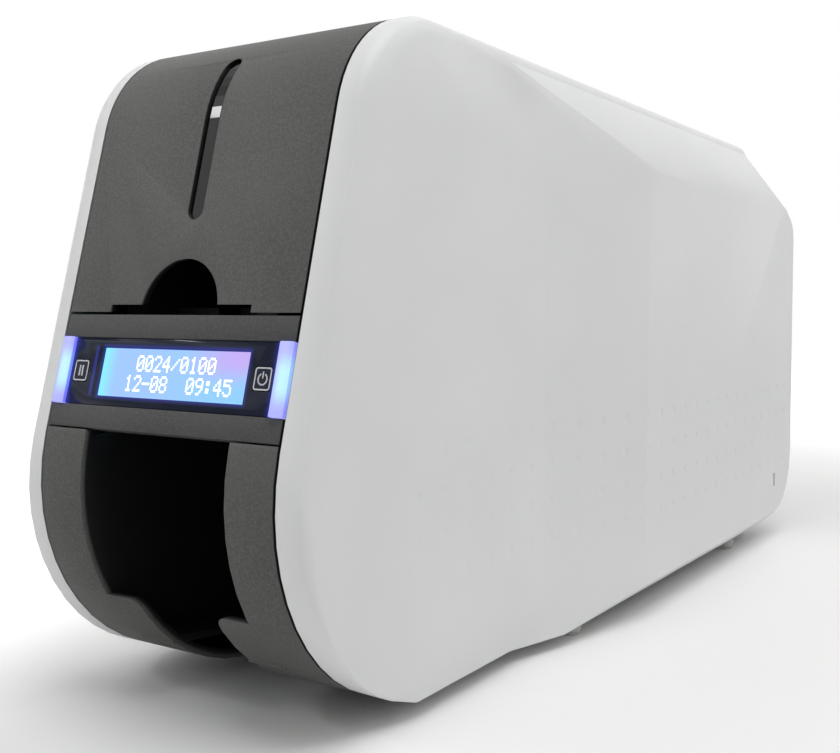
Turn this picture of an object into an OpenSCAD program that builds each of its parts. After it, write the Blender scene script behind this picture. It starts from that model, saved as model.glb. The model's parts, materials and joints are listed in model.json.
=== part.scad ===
// Desktop card printer: a narrow machine between two sculpted side panels. Cards go in under
// the hinged hopper cover, pass under the print head and drop into the tray at the lower front.
// X runs across the machine, -Y is the front, Z is up. The feet stand on z = 0.

/* [Body] */
// Depth of the machine, front to back
body_depth = 404; // [396:1:412]
// Height of the side panels above the table
body_height = 209.5; // [206:0.5:212]
// Width over both side panels
body_width = 152; // [148:1:158]
// Clear width between the two side panels
core_width = 93.6; // [93.2:0.2:94.4]
// Angle at which the front leans back
front_lean = 15; // [14:0.5:16]
// Height of the panels' underside above the table
base_z = 5; // [4:0.5:6]
// Radius of the big curve at the foot of the front
nose_radius = 63.5; // [61:0.5:66]
// Radius of the curve from the front to the top
crest_radius = 40; // [34:1:46]
// Wall of the moulded side panels
panel_wall = 2.5; // [2:0.1:3]
// Width of a side panel where its front edge starts to turn
rim_width = 8.2; // [7:0.2:9]
// Width of a side panel at its flat front field
cheek_width = 14.2; // [13:0.2:16]
// Depth of the round dimples in the side panels
dimple_depth = 0.4; // [0.2:0.05:0.6]

/* [Covers] */
// Wall of the dark covers
cover_wall = 2.5; // [2:0.1:3]
// How far the dark covers lie below the panels' edge
cover_inset = 0; // [0:0.1:1]
// Height of the lower edge of the hopper cover
hopper_edge_z = 121.6; // [120.8:0.2:122.4]
// Distance of the hopper cover's hinge behind the front of the body
hopper_hinge_back = 112; // [110:0.5:113]
// Radius of both cover hinge barrels
barrel_r = 8; // [7.5:0.1:8.4]
// Radius of the hinge pins
hinge_pin_r = 2; // [1.6:0.1:2.6]
// Width of the card slot under the hopper cover
card_slot_w = 56.4; // [55.4:0.2:58]
// Radius of the thumb notch
notch_r = 15.4; // [13:0.2:16.4]
// Width of the long window in the hopper cover
window_w = 5.6; // [4.6:0.2:7]
// Height of the lower end of the long window
window_z = 149; // [145:1:155]

/* [Display] */
// Height of the middle of the display strip
strip_z = 103.9; // [103.6:0.1:104.2]
// Height of the display strip, measured along the front
strip_h = 20.8; // [20:0.2:21.4]
// Height of the bezel bar over the strip
upper_bar_h = 7.2; // [6.8:0.1:7.4]
// Height of the bezel bar under the strip
lower_bar_h = 7; // [6.6:0.1:7.2]
// Width of a light bar
led_w = 5; // [4:0.2:6]
// Width of the lit character window
lcd_w = 58; // [54:0.5:60]
// Height of the lit character window
lcd_h = 14.7; // [13:0.1:16]
// Width of a key
key_w = 6.2; // [5.6:0.1:7]
// Height of a key
key_h = 6.9; // [6:0.1:8]
// Distance of each key from the middle of the strip
key_x = 36.4; // [36:0.1:36.8]

/* [Output stacker] */
// Clear width of the card recess
recess_w = 57.6; // [56.4:0.2:59]
// Clear width between the two lips
lip_gap = 31; // [26:0.5:36]
// Height of the top of the lips
lip_z = 35; // [30:0.5:38]
// Wall of the stacker's outer skin
stack_wall = 3; // [2.6:0.1:3.4]
// Distance the stacker pulls out
stack_travel = 90; // [60:1:110]

/* [Transport] */
// Height of the card path through the print station
path_z = 112; // [111.6:0.1:112.4]
// Radius of the rubber transport rollers
roller_r = 6; // [5.6:0.1:6.2]
// Radius of the platen roller under the print head
platen_r = 7; // [6.6:0.1:7.2]
// Radius of the cleaning and pinch rollers over the card path
pinch_r = 10; // [9.8:0.1:10.2]
// Radius of the pick roller under the hopper
pick_r = 8; // [7.4:0.1:8.4]
// Radius of the roller shafts
shaft_r = 3; // [2.6:0.1:3.2]
// Radial running clearance of shafts and pins
run_fit = 0.04; // [0.02:0.01:0.08]
// Tooth size (module) of the gears
gear_m = 1; // [1]
// Radius of the full ribbon supply roll
supply_r = 15; // [12:0.5:15.5]
// Radius of the used ribbon on the take-up spool
take_up_r = 14.6; // [12:0.2:15]
// Thickness of the steel side plates
plate_t = 1.5; // [1.2:0.1:1.8]

/* [Hidden] */
$fn = 48;

gap = 0.3;
half_core = core_width / 2;
half_body = body_width / 2;
half_cover = half_core - 0.7;
plate_x = half_core - plate_t;
front_y = -body_depth / 2;
rear_y = body_depth / 2;
dark = [0.25, 0.25, 0.26];
white = [0.93, 0.93, 0.94];
steel = [0.72, 0.73, 0.75];
rubber = [0.12, 0.12, 0.13];
nylon = [0.90, 0.89, 0.84];

// ---- side outline of the body: y and z of each corner, and its rounding ----
nose_y = front_y + nose_radius;
function lean_y(z) = nose_y - nose_radius * cos(front_lean)
    + (z - base_z - nose_radius * (1 + sin(front_lean))) * tan(front_lean);
function unit(v) = v / norm(v);
function side_normal(a, b) = let (e = unit(b - a)) [e[1], -e[0]];
function xy(v) = [v[0], v[1]];
// Moves each side of a clockwise outline inward by its own distance d[i] (side i starts at corner i)
function moved_corner(a, b, c, d0, d1) = let (n0 = side_normal(a, b), n1 = side_normal(b, c),
    k = n0 * n1) b + (n0 * (d0 - k * d1) + n1 * (d1 - k * d0)) / (1 - k * k);
function moved(vs, d) = [for (i = [0:len(vs) - 1]) let (n = len(vs), a = xy(vs[(i + n - 1) % n]),
    b = xy(vs[i]), c = xy(vs[(i + 1) % n]), d0 = d[(i + n - 1) % n],
    p = moved_corner(a, b, c, d0, d[i])) [p[0], p[1], max(vs[i][2] - max(d0, d[i]), 0.6)]];
function corner_arc(a, b, c, r, n) = let (u = unit(a - b), v = unit(c - b), h = acos(u * v) / 2,
    m = b + unit(u + v) * r / sin(h), s = b + u * r / tan(h) - m, e = b + v * r / tan(h) - m,
    a0 = atan2(s[1], s[0]), turn = (atan2(e[1], e[0]) - a0 + 540) % 360 - 180)
    [for (i = [0:n]) m + r * [cos(a0 + turn * i / n), sin(a0 + turn * i / n)]];
function rounded(vs) = [for (i = [0:len(vs) - 1]) let (n = len(vs), r = vs[i][2])
    each corner_arc(xy(vs[(i + n - 1) % n]), xy(vs[i]), xy(vs[(i + 1) % n]), r,
        r > 30 ? 14 : 5)];

body_corners = [
    [lean_y(base_z), base_z, nose_radius],
    [lean_y(body_height), body_height, crest_radius],
    [rear_y - 31, body_height, 12],
    [rear_y, body_height - 17.5, 14],
    [rear_y, base_z, 35]
];
function body_outline(d) = rounded(moved(body_corners, [d, d, d, d, d]));

module along_x(x0, x1) {
    translate([x0, 0, 0])
        rotate([90, 0, 90])
            linear_extrude(x1 - x0)
                children();
}
module rod(y, z, r, x0, x1) {
    translate([x0, y, z])
        rotate([0, 90, 0])
            cylinder(r = r, h = x1 - x0);
}
module brick(x, y, z) {
    translate([x[0], y[0], z[0]])
        cube([x[1] - x[0], y[1] - y[0], z[1] - z[0]]);
}
module both_sides() {
    children();
    mirror([1, 0, 0])
        children();
}
// Strip of the body's side outline between two depths under its surface
module outline_band(d0, d1) {
    difference() {
        polygon(body_outline(d0));
        polygon(body_outline(d1));
    }
}
module yz_window(y, z) {
    translate([y[0], z[0]])
        square([y[1] - y[0], z[1] - z[0]]);
}
// Local frame on the leaning front: x across, y up the slope, z straight out of the front
module on_front(z = strip_z) {
    translate([0, lean_y(z), z])
        rotate([90 - front_lean, 0, 0])
            children();
}

// ---- side panels: a shell that widens in two stages ----
cheek_x = half_core + cheek_width;
rim_x = half_core + rim_width + 1;
cheek_front = lean_y(base_z) + 34.2;
cheek_corners = [
    [cheek_front, base_z + 17, 40],
    [cheek_front + 62, body_height - 35, 16],
    [rear_y - 12, body_height - 35, 12],
    [rear_y - 4, body_height - 47, 14],
    [rear_y - 4, base_z + 17, 30]
];
// the flare runs in plan from inside the rim to the full width
flare_x = half_core + 6.6;
flare_y = [front_y + 98.5, front_y + 186];
flare_turn = atan2(half_body - flare_x, flare_y[1] - flare_y[0]);
function flare_at(x) = flare_y[0] + (x - flare_x) / tan(flare_turn);
module slab(x0, x1, corners) {
    along_x(x0, x1)
        polygon(rounded(corners));
}
function panel_section(front, top, bottom, rear) = moved(body_corners,
    [front, top, top, rear, bottom]);
function low_slab(y0, z0, w) = moved([[y0, z0, 0.6], [y0, body_height / 2, 0.6],
    [rear_y - 4, body_height / 2, 0.6], [rear_y - 4, z0, 24]], [w, w, w, w]);
// Front stage: rounded rim, border and flat field. w is the depth under the outer surface
module front_stage(w) {
    hull() {
        slab(half_core - (w > 0 ? 1 : 0), half_core + 4.4 - w, panel_section(w, w, w, w));
        slab(rim_x - 2.1 - w, rim_x - 2 - w, panel_section(1.5 + w, 1.3 + w, w, w));
        slab(rim_x - 0.7 - w, rim_x - 0.6 - w, panel_section(4.4 + w, 2.8 + w, w, 1 + w));
        slab(rim_x - 0.1 - w, rim_x - w, panel_section(8 + w, 4.9 + w, w, 2 + w));
        slab(rim_x + 1.9 - w, rim_x + 2 - w, low_slab(front_y + 50, base_z + 1, w));
        slab(cheek_x - 0.1 - w, cheek_x - w, moved(cheek_corners, [w, w, w, w, w]));
    }
}
// Rear stage: the field steps out through a slanting flare and keeps its width to the back
module rear_stage(w) {
    rear_corners = [
        [flare_y[0], base_z, 0.6],
        [flare_y[0], body_height - 1.2, 0.6],
        body_corners[2] - [0, 1.2, 0],
        body_corners[3] - [1, 1.2, 0],
        body_corners[4] - [1, 0, 0]
    ];
    field_corners = [
        [flare_y[1], base_z + 10, 8],
        [flare_y[1], body_height - 33.5, 10],
        [rear_y - 24, body_height - 33.5, 12],
        [rear_y - 7, body_height - 42.5, 12],
        [rear_y - 3.5, base_z + 10, 30]
    ];
    hull() {
        slab(half_core - (w > 0 ? 1 : 0), flare_x - w, moved(rear_corners, [w, w, w, w, w]));
        slab(half_core + 16.9 - w, half_core + 17 - w, low_slab(flare_at(half_core + 17), base_z, w));
        slab(half_body - 2 - w, half_body - 1.9 - w, moved(field_corners,
            [w - 5, w - 2, w - 2, w - 1.5, w - 2]));
        slab(half_body - 0.1 - w, half_body - w, moved(field_corners, [w, w, w, w, w]));
    }
}
// Rows of shallow round dimples along the lower half of the panel
dimple_pitch = [14, 13];
dimple_start = [front_y + 47, base_z + 37.3];
module dimples() {
    ball = 7;
    for (row = [0:3], i = [(row == 0 || row == 3 ? 1 : 0):24]) {
        y = dimple_start[0] + i * dimple_pitch[0];
        z = dimple_start[1] + row * dimple_pitch[1];
        on_flare = y > flare_at(cheek_x) && y < flare_y[1];
        x = y < flare_at(cheek_x) ? cheek_x
            : on_flare ? flare_x + (y - flare_y[0]) * tan(flare_turn) : half_body;
        turn = on_flare ? flare_turn : 0;
        lift = ball - dimple_depth;
        translate([x + lift * cos(turn), y - lift * sin(turn), z])
            sphere(r = ball, $fn = 32);
    }
}
panel_bosses = [[front_y + 102, 58], [front_y + 102, 168], [rear_y - 50, 62], [rear_y - 88, 160]];
module panel_shell() {
    difference() {
        union() {
            difference() {
                union() {
                    front_stage(0);
                    rear_stage(0);
                }
                union() {
                    front_stage(panel_wall);
                    rear_stage(panel_wall);
                }
            }
            for (b = panel_bosses)
                rod(b[0], b[1], 4, half_core, b[0] < 0 ? cheek_x - 1 : half_body - 1);
        }
        for (b = panel_bosses)
            rod(b[0], b[1], 1.3, half_core - 1, half_core + 9);
        dimples();
    }
}
module right_side_panel() {
    color(white)
        difference() {
            panel_shell();
            // security lock slot
            translate([half_body - 6, rear_y - 37, 29])
                cube([12, 3, 7]);
        }
}
module left_side_panel() {
    color(white)
        mirror([1, 0, 0])
            panel_shell();
}

// ---- base, plates, bars ----
base_top = base_z + 4;
stack_back_y = front_y + 92;
module base_plate() {
    color(dark) {
        difference() {
            brick([-half_cover, half_cover], [stack_back_y + 1, rear_y - 16], [base_top - 3, base_top]);
            // cooling slots
            for (i = [0:8])
                brick([-30, 30], [rear_y - 60 - i * 9, rear_y - 56 - i * 9], [0, base_top + 1]);
        }
        // side flanges, screwed to the plates
        both_sides()
            brick([plate_x - 2, plate_x], [stack_back_y + 1, rear_y - 36], [base_top - 3, base_top + 11]);
    }
}
front_foot = [half_core + 9.4, front_y + 158];
rear_foot = [half_core + 12.2, rear_y - 67];
module foot(p) {
    translate([p[0], p[1], 0]) {
        cylinder(r1 = 4.4, r2 = 5.2, h = 1.5);
        translate([0, 0, 1.5])
            cylinder(r = 5.2, h = base_z - 1.5);
    }
}
module feet() {
    color(rubber)
        both_sides() {
            foot(front_foot);
            foot(rear_foot);
        }
}

// shaft places, each [y, z]
nip = 0.2;
low_z = path_z - nip - roller_r;
function teeth_gap(a, b, c) = gear_m * (a / 2 + b + c / 2);
n_roller = 24;
n_platen_idler = 38;
n_rear_idler = 34;
n_exit_idler = 18;
n_pick_idler = 26;
n_ribbon_idler = 18;
n_pinion = 12;
function beside(p, z, dist, side) = [p[0] + side * sqrt(dist * dist - (z - p[1]) * (z - p[1])), z];
platen = [front_y + 194, path_z - nip - platen_r];
feed = beside(platen, low_z, teeth_gap(n_roller, n_platen_idler, n_roller), -1);
rear = beside(platen, low_z, teeth_gap(n_roller, n_rear_idler, n_roller), 1);
hopper_floor = hopper_edge_z - 2.1;
pick = beside(feed, hopper_floor - pick_r - 0.2, teeth_gap(n_roller, n_pick_idler, n_roller), -1);
exit_z = low_z - 23.8;
exit = beside(feed, exit_z, teeth_gap(n_roller, n_exit_idler, n_roller), -1);
cleaning = [feed[0], path_z + nip + pinch_r];
rear_pinch = [rear[0], path_z + nip + pinch_r];
function between(a, b, na, ni) = a + unit(b - a) * gear_m * (na + ni) / 2;
platen_idler_at = between(platen, feed, n_roller, n_platen_idler);
rear_idler_at = between(platen, rear, n_roller, n_rear_idler);
exit_idler_at = between(feed, exit, n_roller, n_exit_idler);
pick_idler_at = between(feed, pick, n_roller, n_pick_idler);
take_up = [front_y + 138, platen_idler_at[1] + sqrt(pow(teeth_gap(n_platen_idler, n_ribbon_idler,
    n_roller), 2) - pow(front_y + 138 - platen_idler_at[0], 2))];
ribbon_idler_at = between(platen_idler_at, take_up, n_platen_idler, n_ribbon_idler);
supply = [front_y + 246, take_up[1]];
pinion_at = [rear_idler_at[0], rear_idler_at[1] - gear_m * (n_rear_idler + n_pinion) / 2];
driven_shafts = [pick, feed, platen, rear, exit];
free_shafts = [cleaning, rear_pinch];
bush_r = 5;
tie_bar_at = [[front_y + 52, 104], [front_y + 142, 50], [supply[0] + 44, 150], [supply[0] + 76, 70]];
tie_r = 4;

hopper_hinge = [front_y + hopper_hinge_back, body_height - cover_inset - barrel_r];
lid_hinge = [rear_y - 76, body_height - cover_inset - barrel_r];
ear_r = 5;
module plate_outline() {
    difference() {
        intersection() {
            polygon(body_outline(cover_inset + cover_wall + 2.5));
            yz_window([front_y, rear_y - 20], [base_top, body_height]);
        }
        // room for the display housing and for the stacker
        polygon([[front_y, base_top - 1], [stack_back_y + 1, base_top - 1],
            [stack_back_y + 1, 84], [front_y + 40, 89], [lean_y(88) + 17, 121],
            [front_y, 121]]);
        // room for the covers' rear ends when they swing up
        for (h = [hopper_hinge, lid_hinge])
            translate([h[0], h[1] - 1])
                square([barrel_r + 1, 20]);
    }
}
module chassis_plate() {
    difference() {
        union() {
            along_x(plate_x, half_core)
                plate_outline();
            for (h = [hopper_hinge, lid_hinge])
                rod(h[0], h[1], ear_r, plate_x, half_core);
        }
        for (s = concat(driven_shafts, free_shafts))
            rod(s[0], s[1], bush_r, plate_x - 1, half_core + 1);
        for (h = [hopper_hinge, lid_hinge])
            rod(h[0], h[1], hinge_pin_r, plate_x - 1, half_core + 1);
        for (b = concat(panel_bosses, tie_bar_at))
            rod(b[0], b[1], 1.6, plate_x - 1, half_core + 1);
        // lightening windows
        brick([plate_x - 1, half_core + 1], [rear_y - 100, rear_y - 66], [90, 135]);
        brick([plate_x - 1, half_core + 1], [front_y + 165, front_y + 225], [30, 68]);
    }
}
module right_chassis_plate() {
    color(steel)
        chassis_plate();
}
module left_chassis_plate() {
    color(steel)
        mirror([1, 0, 0])
            chassis_plate();
}
module tie_bars() {
    color(steel)
        for (b = tie_bar_at)
            difference() {
                rod(b[0], b[1], tie_r, -plate_x, plate_x);
                rod(b[0], b[1], 1.25, -plate_x - 1, -plate_x + 10);
                rod(b[0], b[1], 1.25, plate_x - 10, plate_x + 1);
            }
}
module shaft_bushes() {
    color([0.78, 0.62, 0.34])
        both_sides()
            for (s = concat(driven_shafts, free_shafts))
                difference() {
                    union() {
                        rod(s[0], s[1], bush_r, plate_x - 0.5, half_core);
                        rod(s[0], s[1], bush_r + 1, plate_x - 1, plate_x);
                    }
                    rod(s[0], s[1], shaft_r + run_fit, plate_x - 2, half_core + 1);
                }
}
module screw(p, x, way) {
    translate([x, p[0], p[1]])
        rotate([0, 90 * way, 0])
            difference() {
                union() {
                    cylinder(r1 = 2.9, r2 = 2.5, h = 1.8);
                    translate([0, 0, -8])
                        cylinder(r = 1.2, h = 8.5);
                }
                translate([-2, -0.35, 1])
                    cube([4, 0.7, 1]);
                translate([-0.35, -2, 1])
                    cube([0.7, 4, 1]);
            }
}
module screws() {
    color(steel)
        both_sides() {
            for (b = tie_bar_at)
                screw(b, half_core, 1);
            for (b = panel_bosses)
                screw(b, plate_x, -1);
        }
}

// ---- rear of the machine ----
bay_y = rear_y - 14;
bay_top = 66;
socket_floor = base_top + 8;
module rear_cover() {
    color(dark)
        difference() {
            union() {
                along_x(-half_cover, half_cover)
                    intersection() {
                        outline_band(0.5, 3.5);
                        yz_window([lid_hinge[0] + barrel_r + 0.6, rear_y + 1],
                            [bay_top - 3, body_height]);
                    }
                // recessed socket bay
                brick([-half_cover, half_cover], [bay_y - 3, rear_y - 1], [bay_top - 3, bay_top]);
                brick([-half_cover, half_cover], [bay_y - 3, bay_y], [base_top, bay_top - 1]);
            }
            // sockets' windows
            brick([-35.3, -20.7], [bay_y - 4, bay_y + 1], [socket_floor - 0.3, socket_floor + 11.3]);
            brick([-6.3, 6.3], [bay_y - 4, bay_y + 1], [socket_floor - 0.3, socket_floor + 11.3]);
            brick([17.7, 34.3], [bay_y - 4, bay_y + 1], [socket_floor - 0.3, socket_floor + 13.8]);
            // air slots
            for (i = [0:8])
                brick([-28, 28], [rear_y - 6, rear_y + 1], [84 + i * 7, 86.6 + i * 7]);
        }
}
module power_socket() {
    color(rubber)
        difference() {
            brick([-35, -21], [bay_y - 14, bay_y], [socket_floor, socket_floor + 11]);
            translate([-28, bay_y + 1, socket_floor + 6])
                rotate([90, 0, 0])
                    cylinder(r = 3.2, h = 11);
        }
    color(steel)
        translate([-28, bay_y - 1, socket_floor + 6])
            rotate([90, 0, 0])
                cylinder(r = 1, h = 9.5);
}
module usb_socket() {
    color(steel)
        difference() {
            brick([-6, 6], [bay_y - 16, bay_y], [socket_floor, socket_floor + 11]);
            brick([-4.2, 4.2], [bay_y - 12, bay_y + 1], [socket_floor + 1.4, socket_floor + 9.6]);
        }
    color(white)
        brick([-2.8, 2.8], [bay_y - 12.5, bay_y - 2], [socket_floor + 7, socket_floor + 9.6]);
}
module network_socket() {
    color(steel)
        difference() {
            brick([18, 34], [bay_y - 20, bay_y], [socket_floor, socket_floor + 13.5]);
            brick([20, 32], [bay_y - 14, bay_y + 1], [socket_floor + 2, socket_floor + 9]);
            brick([23, 29], [bay_y - 14, bay_y + 1], [socket_floor + 8, socket_floor + 11.5]);
        }
}
module main_board() {
    board_z = socket_floor - 1.6;
    color([0.10, 0.36, 0.22]) {
        brick([-40, 40], [rear_y - 130, bay_y - 3.5], [board_z, socket_floor]);
        for (x = [-36, 36], y = [rear_y - 126, rear_y - 34])
            translate([x, y, base_top])
                cylinder(r = 2.5, h = board_z - base_top);
        brick([-12, 12], [rear_y - 104, rear_y - 80], [socket_floor, socket_floor + 1.6]);
        brick([16, 30], [rear_y - 100, rear_y - 82], [socket_floor, socket_floor + 1.4]);
        for (i = [0:3])
            translate([-32 + i * 9, rear_y - 58, socket_floor])
                cylinder(r = 3.4, h = 9);
    }
}

// ---- hopper cover with card slot, thumb notch and window ----
module cover_skin(y0, y1, z0) {
    intersection() {
        outline_band(cover_inset, cover_inset + cover_wall);
        yz_window([y0, y1], [z0, body_height]);
    }
}
// Stiffening rib under a cover along each side edge
module cover_rib(y0, y1, z0) {
    intersection() {
        outline_band(cover_inset + 1, cover_inset + cover_wall + 5);
        yz_window([y0, y1], [z0, body_height]);
    }
}
notch_z = hopper_edge_z + 2.2;
module hopper_cover() {
    color(dark)
        difference() {
            union() {
                along_x(-half_cover, half_cover)
                    cover_skin(front_y, hopper_hinge[0], hopper_edge_z);
                both_sides()
                    along_x(plate_x - 3, plate_x - 0.6)
                        cover_rib(front_y, hopper_hinge[0], hopper_edge_z);
                rod(hopper_hinge[0], hopper_hinge[1], barrel_r, -plate_x + 0.4, plate_x - 0.4);
            }
            // card slot and thumb notch
            brick([-card_slot_w / 2, card_slot_w / 2], [front_y - 1, front_y + 30],
                [hopper_edge_z - 1, notch_z]);
            translate([0, front_y + 30, notch_z - 2])
                rotate([90, 0, 0])
                    cylinder(r = notch_r, h = 31);
            // window
            translate([0, front_y + 60, 0])
                rotate([90, 0, 0])
                    linear_extrude(61)
                        window_shape(0);
            for (side = [-1, 1])
                rod(hopper_hinge[0], hopper_hinge[1], hinge_pin_r + run_fit,
                    side > 0 ? plate_x - 12 : -plate_x - 1, side > 0 ? plate_x + 1 : 12 - plate_x);
        }
}
window_top = body_height - 10.7;
module window_shape(d) {
    r = window_w / 2 - d;
    translate([0, window_z + window_w / 2])
        circle(r = r);
    translate([0, window_top - window_w / 2])
        circle(r = r);
    translate([-r, window_z + window_w / 2])
        square([2 * r, window_top - window_z - window_w]);
}
module hopper_window() {
    color([0.05, 0.05, 0.06])
        intersection() {
            union() {
                along_x(-half_core, half_core)
                    outline_band(cover_inset + 0.9, cover_inset + cover_wall + 1.2);
            }
            union() {
                translate([0, front_y + 70, 0])
                    rotate([90, 0, 0])
                        linear_extrude(80)
                            window_shape(0.12);
                intersection() {
                    along_x(-window_w / 2 - 2.5, window_w / 2 + 2.5)
                        outline_band(cover_inset + cover_wall, cover_inset + cover_wall + 1.2);
                    brick([-20, 20], [front_y, front_y + 50], [window_z - 3, body_height]);
                }
            }
        }
}
module hinge_pins() {
    color(steel)
        both_sides()
            for (h = [hopper_hinge, lid_hinge])
                rod(h[0], h[1], hinge_pin_r, plate_x - 10, half_core);
}

// ---- rear lid with release button ----
lid_front = hopper_hinge[0] + barrel_r + 0.7;
button_y = [lid_front + 12, lid_front + 24];
button_x = 16;
module lid_hooks() {
    both_sides()
        along_x(plate_x - 8, plate_x - 4)
            polygon([[lid_front + 8, body_height - cover_inset - 2],
                [lid_front + 16, body_height - cover_inset - 2],
                [lid_front + 13, body_height - 22], [lid_front + 6, body_height - 22],
                [lid_front + 9, body_height - 17]]);
}
module top_cover() {
    color(dark)
        difference() {
            union() {
                along_x(-half_cover, half_cover)
                    cover_skin(lid_front, lid_hinge[0], 100);
                both_sides()
                    along_x(plate_x - 3, plate_x - 0.6)
                        cover_rib(lid_front, lid_hinge[0], 100);
                rod(lid_hinge[0], lid_hinge[1], barrel_r, -plate_x + 0.4, plate_x - 0.4);
                lid_hooks();
                // well that carries the release button
                brick([-button_x - 2, button_x + 2], [button_y[0] - 2, button_y[1] + 2],
                    [body_height - 12, body_height - cover_inset - 1]);
            }
            brick([-button_x, button_x], button_y, [body_height - 9, body_height + 1]);
            for (side = [-1, 1])
                rod(lid_hinge[0], lid_hinge[1], hinge_pin_r + run_fit,
                    side > 0 ? plate_x - 12 : -plate_x - 1, side > 0 ? plate_x + 1 : 12 - plate_x);
        }
}
module release_button() {
    top = body_height - cover_inset;
    color(dark)
        difference() {
            brick([-button_x + gap, button_x - gap], [button_y[0] + gap, button_y[1] - gap],
                [top - 4.2, top]);
            for (i = [-2:2])
                brick([-10, 10], [(button_y[0] + button_y[1]) / 2 + i * 2 - 0.4,
                    (button_y[0] + button_y[1]) / 2 + i * 2 + 0.4], [top - 0.5, top + 1]);
        }
}

// ---- display ----
strip_half = strip_h / 2;
face = -cover_inset;
lcd_x = 1.6;
module front_block(x, s, n) {
    on_front()
        brick(x, s, n);
}
module display_bezel() {
    color(dark)
        difference() {
            union() {
                front_block([-half_cover, half_cover], [strip_half, strip_half + upper_bar_h],
                    [face - 5.6, face]);
                front_block([-half_cover, half_cover], [-strip_half - lower_bar_h, -strip_half],
                    [face - 5.6, face]);
                front_block([-half_cover, half_cover], [-strip_half - 1, strip_half + 1],
                    [face - 5.6, face - 3]);
                // tabs fixed to the side plates
                both_sides()
                    front_block([plate_x - 2, plate_x], [-6, 6], [face - 27, face - 4]);
            }
            // window of the character display, and clearance behind the keys
            front_block([lcd_x - lcd_w / 2 - gap, lcd_x + lcd_w / 2 + gap],
                [-lcd_h / 2 - gap, lcd_h / 2 + gap], [face - 7, face - 2]);
            for (side = [-1, 1])
                front_block([side * key_x - 2, side * key_x + 2], [-2, 2], [face - 7, face - 2]);
        }
}
lens_x = half_cover - led_w - 0.2;
module display_lens() {
    color([0.03, 0.03, 0.035])
        difference() {
            front_block([-lens_x, lens_x], [-strip_half + 0.1, strip_half - 0.1], [face - 3, face - 0.3]);
            front_block([lcd_x - lcd_w / 2, lcd_x + lcd_w / 2], [-lcd_h / 2, lcd_h / 2],
                [face - 4, face + 1]);
            for (side = [-1, 1])
                front_block([side * key_x - key_w / 2, side * key_x + key_w / 2],
                    [-key_h / 2, key_h / 2], [face - 4, face + 1]);
        }
}
module lcd_module() {
    color([0.55, 0.75, 0.95])
        front_block([lcd_x - lcd_w / 2 + 0.1, lcd_x + lcd_w / 2 - 0.1],
            [-lcd_h / 2 + 0.1, lcd_h / 2 - 0.1], [face - 6, face - 0.5]);
    color(steel)
        front_block([lcd_x - 32, lcd_x + 32], [-13, 13], [face - 10, face - 5.9]);
}
// Light bar with a slightly raised, chamfered face
module led_bar() {
    color([0.75, 0.85, 1])
        on_front()
            rotate([90, 0, 0])
                translate([0, 0, -strip_half + 0.1])
                    linear_extrude(strip_h - 0.2)
                        polygon([[lens_x + 0.1, face - 3], [half_cover, face - 3],
                            [half_cover, face + 0.5], [half_cover - 0.8, face + 1.2],
                            [lens_x + 0.9, face + 1.2], [lens_x + 0.1, face + 0.5]]);
}
module led_bar_right() {
    led_bar();
}
module led_bar_left() {
    mirror([1, 0, 0])
        led_bar();
}
module key(side) {
    color([0.06, 0.06, 0.07]) {
        front_block([side * key_x - key_w / 2 + 0.15, side * key_x + key_w / 2 - 0.15],
            [-key_h / 2 + 0.15, key_h / 2 - 0.15], [face - 2.1, face - 0.3]);
        front_block([side * key_x - 1.5, side * key_x + 1.5], [-1.5, 1.5], [face - 9.2, face - 2]);
    }
}
module pause_key() {
    key(-1);
}
module power_key() {
    key(1);
}
module display_board() {
    color([0.10, 0.36, 0.22]) {
        front_block([-42, 42], [-strip_half - 5, strip_half + 5], [face - 11.6, face - 10]);
        // posts up to the bezel
        for (x = [-39, 39], s = [-12, 12])
            on_front()
                translate([x, s, face - 10])
                    cylinder(r = 2, h = 4.4);
    }
}

// ---- output stacker ----
stack_top = strip_z - (strip_half + lower_bar_h) * cos(front_lean) + 0.5;
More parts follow.
